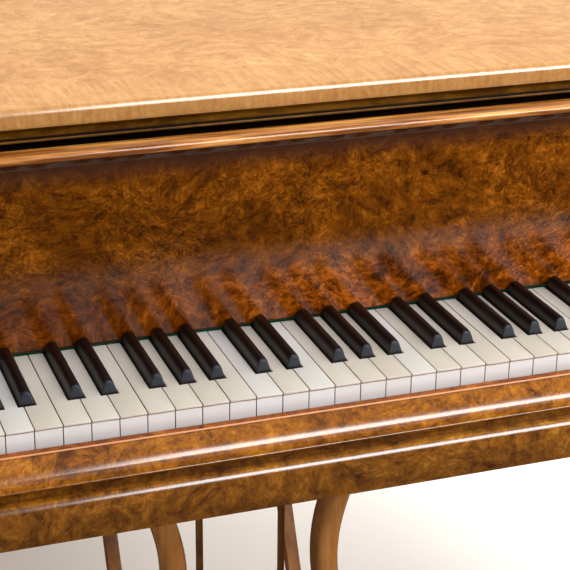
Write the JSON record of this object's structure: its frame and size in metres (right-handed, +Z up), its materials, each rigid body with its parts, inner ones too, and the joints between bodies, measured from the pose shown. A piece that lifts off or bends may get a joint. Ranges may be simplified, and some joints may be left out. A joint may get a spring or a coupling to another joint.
{
  "type": "grand piano",
  "caption": "Drawing-room grand piano in polished walnut: wing-shaped case on turned legs with casters, propped lid, folding fallboard, keys, pedals and lyre.",
  "frame": {"origin": "on the floor under the middle of the case, half way along its length and width", "axes": "+X along the keyboard to the treble, +Y from the player to the tail, +Z up"},
  "size_m": [1.4, 2.12, 0.947],
  "materials": {
    "walnut_case": "French-polished walnut",
    "walnut_lid": "French-polished straight-grained walnut",
    "burr_walnut": "French-polished burr walnut",
    "beech": "plain beech",
    "black_wood": "black-stained wood with felt",
    "spruce": "varnished spruce",
    "ivory": "key wood with polished ivory-coloured covers",
    "ebony": "ebony on key wood",
    "gilt_iron": "bronzed cast iron",
    "brass": "polished brass"
  },
  "bodies": {
    "case": {"spine": "walnut_case", "bentside": "walnut_case", "keybed": "walnut_case", "key_slip": "burr_walnut", "key_block_bass": "burr_walnut", "key_block_treble": "burr_walnut", "name_rail": "beech", "wrest_plank": "beech", "bracing": "beech", "soundboard": "spruce", "treble_bridge": "beech", "bass_bridge": "beech", "iron_frame": "gilt_iron", "lid_hinge_case_1": "brass", "lid_hinge_case_2": "brass", "lyre": "walnut_case", "lyre_brace_left": "walnut_case", "lyre_brace_right": "walnut_case", "leg_left": "walnut_case", "leg_right": "walnut_case", "leg_back": "walnut_case"},
    "lid": {"lid_main": "walnut_lid", "flap_hinge": "brass", "lid_hinge_lid_1": "brass", "lid_hinge_lid_2": "brass"},
    "lid_flap": {"lid_front": "walnut_lid"},
    "fall": {"fallboard": "burr_walnut"},
    "shelf": {"music_shelf": "walnut_lid"},
    "desk": {"music_desk": "walnut_lid"},
    "prop": {"prop_stick": "walnut_lid"},
    "keyboard": {"key_frame": "beech", "natural_keys": "ivory", "sharp_keys": "ebony", "action_frame": "beech", "hammer_rank": "beech"},
    "dampers": {"damper_rank": "black_wood"},
    "soft_pedal": {"pedal_soft": "brass"},
    "sustain_pedal": {"pedal_sustain": "brass"},
    "soft_rod": {"pedal_rod_soft": "brass"},
    "sustain_rod": {"pedal_rod_sustain": "brass"},
    "note_C4": {"key_C4": "ivory"},
    "note_C4_sharp": {"key_C4_sharp": "ebony"},
    "note_D4": {"key_D4": "ivory"},
    "note_D4_sharp": {"key_D4_sharp": "ebony"},
    "note_E4": {"key_E4": "ivory"},
    "note_F4": {"key_F4": "ivory"},
    "note_F4_sharp": {"key_F4_sharp": "ebony"},
    "note_G4": {"key_G4": "ivory"},
    "note_G4_sharp": {"key_G4_sharp": "ebony"},
    "note_A4": {"key_A4": "ivory"},
    "note_A4_sharp": {"key_A4_sharp": "ebony"},
    "note_B4": {"key_B4": "ivory"},
    "fork_left": {"caster_fork_left": "brass"},
    "wheel_left": {"caster_wheel_left": "brass"},
    "fork_right": {"caster_fork_right": "brass"},
    "wheel_right": {"caster_wheel_right": "brass"},
    "fork_back": {"caster_fork_back": "brass"},
    "wheel_back": {"caster_wheel_back": "brass"}
  },
  "joints": [
    {"name": "lid_hinge", "type": "hinge", "parent": "case", "child": "lid", "pos_m": [-0.6974, 0.213, 0.92685], "axis": [0, -1, 0], "range_deg": [0, 28]},
    {"name": "flap_hinge_turn", "type": "hinge", "parent": "lid", "child": "lid_flap", "pos_m": [0, -0.4543, 0.9445], "axis": [-1, 0, 0], "range_deg": [0, 180]},
    {"name": "fallboard_turn", "type": "hinge", "parent": "case", "child": "fall", "pos_m": [0, -0.884, 0.743], "axis": [1, 0, 0], "range_deg": [0, 87.5]},
    {"name": "shelf_slide", "type": "slide", "parent": "case", "child": "shelf", "axis": [0, 1, 0], "range_m": [0, 0.06]},
    {"name": "desk_turn", "type": "hinge", "parent": "shelf", "child": "desk", "pos_m": [0, -0.646, 0.9113], "axis": [-1, 0, 0], "range_deg": [0, 110]},
    {"name": "prop_turn", "type": "hinge", "parent": "case", "child": "prop", "pos_m": [0.628, -0.852, 0.862], "axis": [0.8724, 0, 0.4888], "range_deg": [0, 50]},
    {"name": "soft_pedal_turn", "type": "hinge", "parent": "case", "child": "soft_pedal", "pos_m": [-0.045, -0.8, 0.109], "axis": [1, 0, 0], "range_deg": [0, 8], "stiffness_Nm_per_rad": 10, "springref_deg": -11.46},
    {"name": "sustain_pedal_turn", "type": "hinge", "parent": "case", "child": "sustain_pedal", "pos_m": [0.045, -0.8, 0.109], "axis": [1, 0, 0], "range_deg": [0, 8], "stiffness_Nm_per_rad": 10, "springref_deg": -11.46},
    {"name": "soft_rod_lift", "type": "slide", "parent": "case", "child": "soft_rod", "axis": [0, 0, 1], "range_m": [0, 0.0051]},
    {"name": "sustain_rod_lift", "type": "slide", "parent": "case", "child": "sustain_rod", "axis": [0, 0, 1], "range_m": [0, 0.0051]},
    {"name": "keyboard_shift", "type": "slide", "parent": "case", "child": "keyboard", "axis": [1, 0, 0], "range_m": [0, 0.0025]},
    {"name": "damper_lift", "type": "slide", "parent": "case", "child": "dampers", "axis": [0, 0, 1], "range_m": [0, 0.006]},
    {"name": "note_C4_dip", "type": "hinge", "parent": "keyboard", "child": "note_C4", "pos_m": [-0.05875, -0.805, 0.703], "axis": [1, 0, 0], "range_deg": [0, 2.4], "stiffness_Nm_per_rad": 0.55, "springref_deg": -11.46},
    {"name": "note_C4_sharp_dip", "type": "hinge", "parent": "keyboard", "child": "note_C4_sharp", "pos_m": [-0.047, -0.805, 0.703], "axis": [1, 0, 0], "range_deg": [0, 2.4], "stiffness_Nm_per_rad": 0.55, "springref_deg": -11.46},
    {"name": "note_D4_dip", "type": "hinge", "parent": "keyboard", "child": "note_D4", "pos_m": [-0.03525, -0.805, 0.703], "axis": [1, 0, 0], "range_deg": [0, 2.4], "stiffness_Nm_per_rad": 0.55, "springref_deg": -11.46},
    {"name": "note_D4_sharp_dip", "type": "hinge", "parent": "keyboard", "child": "note_D4_sharp", "pos_m": [-0.0235, -0.805, 0.703], "axis": [1, 0, 0], "range_deg": [0, 2.4], "stiffness_Nm_per_rad": 0.55, "springref_deg": -11.46},
    {"name": "note_E4_dip", "type": "hinge", "parent": "keyboard", "child": "note_E4", "pos_m": [-0.01175, -0.805, 0.703], "axis": [1, 0, 0], "range_deg": [0, 2.4], "stiffness_Nm_per_rad": 0.55, "springref_deg": -11.46},
    {"name": "note_F4_dip", "type": "hinge", "parent": "keyboard", "child": "note_F4", "pos_m": [0.01175, -0.805, 0.703], "axis": [1, 0, 0], "range_deg": [0, 2.4], "stiffness_Nm_per_rad": 0.55, "springref_deg": -11.46},
    {"name": "note_F4_sharp_dip", "type": "hinge", "parent": "keyboard", "child": "note_F4_sharp", "pos_m": [0.0235, -0.805, 0.703], "axis": [1, 0, 0], "range_deg": [0, 2.4], "stiffness_Nm_per_rad": 0.55, "springref_deg": -11.46},
    {"name": "note_G4_dip", "type": "hinge", "parent": "keyboard", "child": "note_G4", "pos_m": [0.03525, -0.805, 0.703], "axis": [1, 0, 0], "range_deg": [0, 2.4], "stiffness_Nm_per_rad": 0.55, "springref_deg": -11.46},
    {"name": "note_G4_sharp_dip", "type": "hinge", "parent": "keyboard", "child": "note_G4_sharp", "pos_m": [0.047, -0.805, 0.703], "axis": [1, 0, 0], "range_deg": [0, 2.4], "stiffness_Nm_per_rad": 0.55, "springref_deg": -11.46},
    {"name": "note_A4_dip", "type": "hinge", "parent": "keyboard", "child": "note_A4", "pos_m": [0.05875, -0.805, 0.703], "axis": [1, 0, 0], "range_deg": [0, 2.4], "stiffness_Nm_per_rad": 0.55, "springref_deg": -11.46},
    {"name": "note_A4_sharp_dip", "type": "hinge", "parent": "keyboard", "child": "note_A4_sharp", "pos_m": [0.0705, -0.805, 0.703], "axis": [1, 0, 0], "range_deg": [0, 2.4], "stiffness_Nm_per_rad": 0.55, "springref_deg": -11.46},
    {"name": "note_B4_dip", "type": "hinge", "parent": "keyboard", "child": "note_B4", "pos_m": [0.08225, -0.805, 0.703], "axis": [1, 0, 0], "range_deg": [0, 2.4], "stiffness_Nm_per_rad": 0.55, "springref_deg": -11.46},
    {"name": "swivel_left", "type": "hinge", "parent": "case", "child": "fork_left", "pos_m": [-0.609, -0.9, 0.0977], "axis": [0, 0, 1], "continuous": true},
    {"name": "roll_left", "type": "hinge", "parent": "fork_left", "child": "wheel_left", "pos_m": [-0.61932, -0.88526, 0.028], "axis": [0.8192, 0.5736, 0], "continuous": true},
    {"name": "swivel_right", "type": "hinge", "parent": "case", "child": "fork_right", "pos_m": [0.609, -0.9, 0.0977], "axis": [0, 0, 1], "continuous": true},
    {"name": "roll_right", "type": "hinge", "parent": "fork_right", "child": "wheel_right", "pos_m": [0.60139, -0.91631, 0.028], "axis": [-0.9063, 0.4226, 0], "continuous": true},
    {"name": "swivel_back", "type": "hinge", "parent": "case", "child": "fork_back", "pos_m": [-0.404, 0.844, 0.0977], "axis": [0, 0, 1], "continuous": true},
    {"name": "roll_back", "type": "hinge", "parent": "fork_back", "child": "wheel_back", "pos_m": [-0.38607, 0.84557, 0.028], "axis": [0.0872, -0.9962, 0], "continuous": true}
  ],
  "couplings": [
    {"joint": "prop_turn", "follows": "lid_hinge", "ratio": 1.7857},
    {"joint": "desk_turn", "follows": "flap_hinge_turn", "ratio": 0.6111},
    {"joint": "soft_rod_lift", "follows": "soft_pedal_turn", "m_per_rad": 0.0364},
    {"joint": "sustain_rod_lift", "follows": "sustain_pedal_turn", "m_per_rad": 0.0364},
    {"joint": "keyboard_shift", "follows": "soft_pedal_turn", "m_per_rad": 0.0179},
    {"joint": "damper_lift", "follows": "sustain_pedal_turn", "m_per_rad": 0.0429}
  ]
}
